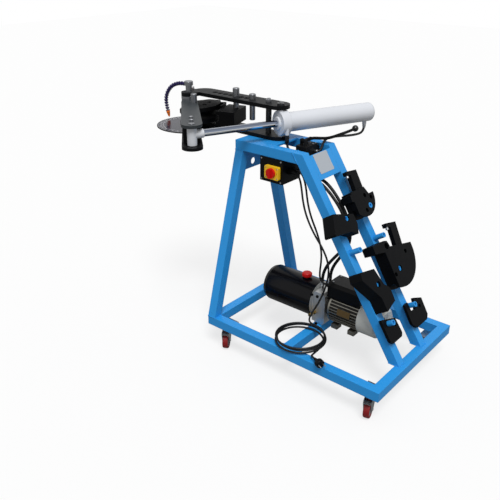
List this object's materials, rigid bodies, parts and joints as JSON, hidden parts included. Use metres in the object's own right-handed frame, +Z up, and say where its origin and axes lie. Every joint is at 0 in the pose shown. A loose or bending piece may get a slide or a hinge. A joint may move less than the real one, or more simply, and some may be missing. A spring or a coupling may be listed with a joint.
{
  "type": "electric hydraulic tube bender",
  "caption": "Wheeled stand with a hydraulic tube bending head, swing arm, cylinder, power pack, coiled lead and a rack of spare formers.",
  "frame": {"origin": "middle of the footprint on the floor, without the supply cord", "axes": "+X from the bending head to the rack of formers, +Y from the front to the back, +Z up"},
  "size_m": [1.3402, 0.8155, 1.089],
  "materials": {
    "stand_paint": "gloss",
    "caster_zinc": "satin",
    "caster_tread": "matte",
    "tool_black": "satin",
    "pin_steel": "satin",
    "cylinder_paint": "gloss",
    "rod_chrome": "gloss",
    "disc_navy": "gloss",
    "tank_black": "gloss",
    "cast_aluminium": "satin",
    "cowl_paint": "satin",
    "box_plastic": "matte",
    "valve_black": "satin",
    "switch_yellow": "gloss",
    "switch_red": "gloss",
    "hose_rubber": "matte",
    "hose_violet": "gloss",
    "nozzle_orange": "gloss"
  },
  "bodies": {
    "stand": {"base_frame": "stand_paint", "bottom_plate": "tool_black", "cable_glands": "box_plastic", "caster_plates": "caster_zinc", "contactor": "box_plastic", "control_box": "box_plastic", "control_box_cover": "box_plastic", "control_valve": "valve_black", "cord_coil": "hose_rubber", "cylinder_hoses": "hose_rubber", "fan_cowl": "cowl_paint", "follow_block": "tool_black", "frame_panels": "stand_paint", "gear_pump": "cast_aluminium", "half_round_dies": "tool_black", "head_post": "pin_steel", "hose_fittings": "pin_steel", "left_legs": "stand_paint", "manifold": "cast_aluminium", "motor_case": "cast_aluminium", "oil_tank": "tank_black", "plug": "box_plastic", "pointer_base": "tool_black", "pointer_hose": "hose_violet", "pointer_nozzle": "nozzle_orange", "pump_lines": "hose_rubber", "right_legs": "stand_paint", "spare_blocks": "tool_black", "supply_cord": "hose_rubber", "switch_plate": "switch_yellow", "terminal_box": "box_plastic", "top_frame": "stand_paint", "top_plate": "tool_black"},
    "swing_arm": {"main_pin": "pin_steel", "upper_arm": "tool_black", "lower_arm": "tool_black", "arm_pins": "pin_steel", "bending_die": "tool_black", "degree_disc": "disc_navy"},
    "cylinder": {"cylinder_barrel": "cylinder_paint", "cylinder_head": "cylinder_paint"},
    "rod": {"piston_rod": "rod_chrome", "rod_eye": "cylinder_paint"},
    "follow_pin": {"follow_pin": "pin_steel"},
    "spare_pin": {"spare_pin": "pin_steel"},
    "lever": {"valve_lever": "valve_black"},
    "spool": {"valve_spool": "pin_steel"},
    "knob": {"switch_knob": "switch_red"},
    "cap": {"filler_cap": "switch_red"},
    "rotor": {"motor_rotor": "pin_steel"},
    "front_left_caster": {"front_left_fork": "caster_zinc"},
    "front_left_roller": {"front_left_wheel": "caster_tread"},
    "front_left_pedal": {"front_left_brake_pedal": "caster_zinc"},
    "front_right_caster": {"front_right_fork": "caster_zinc"},
    "front_right_roller": {"front_right_wheel": "caster_tread"},
    "front_right_pedal": {"front_right_brake_pedal": "caster_zinc"},
    "back_left_caster": {"back_left_fork": "caster_zinc"},
    "back_left_roller": {"back_left_wheel": "caster_tread"},
    "back_right_caster": {"back_right_fork": "caster_zinc"},
    "back_right_roller": {"back_right_wheel": "caster_tread"}
  },
  "joints": [
    {"name": "arm_swing", "type": "hinge", "parent": "stand", "child": "swing_arm", "pos_m": [-0.49875, -0.06072, 0.909], "axis": [0, 0, 1], "range_deg": [-3.5, 30.2]},
    {"name": "cylinder_swing", "type": "hinge", "parent": "stand", "child": "cylinder", "pos_m": [-0.03195, -0.01132, 0.972], "axis": [0, 0, 1], "range_deg": [-1.29, 9.6], "deforming": ["cylinder_hoses"]},
    {"name": "rod_slide", "type": "slide", "parent": "cylinder", "child": "rod", "axis": [0.397, 0.9178, 0], "range_m": [-0.02698, 0.2252]},
    {"name": "follow_pin_lift", "type": "slide", "parent": "stand", "child": "follow_pin", "axis": [0, 0, 1], "range_m": [0, 0.135]},
    {"name": "spare_pin_lift", "type": "slide", "parent": "stand", "child": "spare_pin", "axis": [0, 0, 1], "range_m": [0, 0.085]},
    {"name": "lever_swing", "type": "hinge", "parent": "stand", "child": "lever", "pos_m": [0.09725, -0.02872, 0.925], "axis": [1, 0, 0], "range_deg": [-7, 7], "stiffness_Nm_per_rad": 60},
    {"name": "spool_slide", "type": "slide", "parent": "stand", "child": "spool", "axis": [0, 0, 1], "range_m": [-0.005, 0.005]},
    {"name": "switch_turn", "type": "hinge", "parent": "stand", "child": "knob", "pos_m": [0.02325, -0.13872, 0.805], "axis": [0, 1, 0], "range_deg": [0, 90]},
    {"name": "filler_cap_turn", "type": "hinge", "parent": "stand", "child": "cap", "pos_m": [0.12925, -0.01172, 0.329], "axis": [0, 0, 1], "continuous": true},
    {"name": "motor_spin", "type": "hinge", "parent": "stand", "child": "rotor", "pos_m": [0.36125, -0.01172, 0.243], "axis": [1, 0, 0], "continuous": true},
    {"name": "front_left_swivel", "type": "hinge", "parent": "stand", "child": "front_left_caster", "pos_m": [-0.11875, -0.25472, 0.1], "axis": [0, 0, 1], "continuous": true},
    {"name": "front_left_roll", "type": "hinge", "parent": "front_left_caster", "child": "front_left_roller", "pos_m": [-0.10475, -0.27897, 0.0375], "axis": [0.866, 0.5, 0], "continuous": true},
    {"name": "front_left_brake", "type": "hinge", "parent": "front_left_caster", "child": "front_left_pedal", "pos_m": [-0.09575, -0.29456, 0.0785], "axis": [-0.866, -0.5, 0], "range_deg": [0, 14]},
    {"name": "front_right_swivel", "type": "hinge", "parent": "stand", "child": "front_right_caster", "pos_m": [0.61125, -0.25472, 0.1], "axis": [0, 0, 1], "continuous": true},
    {"name": "front_right_roll", "type": "hinge", "parent": "front_right_caster", "child": "front_right_roller", "pos_m": [0.6185, -0.28177, 0.0375], "axis": [0.9659, 0.2588, 0], "continuous": true},
    {"name": "front_right_brake", "type": "hinge", "parent": "front_right_caster", "child": "front_right_pedal", "pos_m": [0.62316, -0.29916, 0.0785], "axis": [-0.9659, -0.2588, 0], "range_deg": [0, 14]},
    {"name": "back_left_swivel", "type": "hinge", "parent": "stand", "child": "back_left_caster", "pos_m": [-0.11875, 0.23128, 0.1], "axis": [0, 0, 1], "continuous": true},
    {"name": "back_left_roll", "type": "hinge", "parent": "back_left_caster", "child": "back_left_roller", "pos_m": [-0.14413, 0.21944, 0.0375], "axis": [0.4226, -0.9063, 0], "continuous": true},
    {"name": "back_right_swivel", "type": "hinge", "parent": "stand", "child": "back_right_caster", "pos_m": [0.61125, 0.23128, 0.1], "axis": [0, 0, 1], "continuous": true},
    {"name": "back_right_roll", "type": "hinge", "parent": "back_right_caster", "child": "back_right_roller", "pos_m": [0.58494, 0.24085, 0.0375], "axis": [-0.342, -0.9397, 0], "continuous": true}
  ],
  "couplings": [
    {"joint": "cylinder_swing", "follows": "arm_swing", "ratio": 0.3112},
    {"joint": "rod_slide", "follows": "arm_swing", "m_per_rad": 0.42536},
    {"joint": "spool_slide", "follows": "lever_swing", "m_per_rad": 0.04}
  ]
}
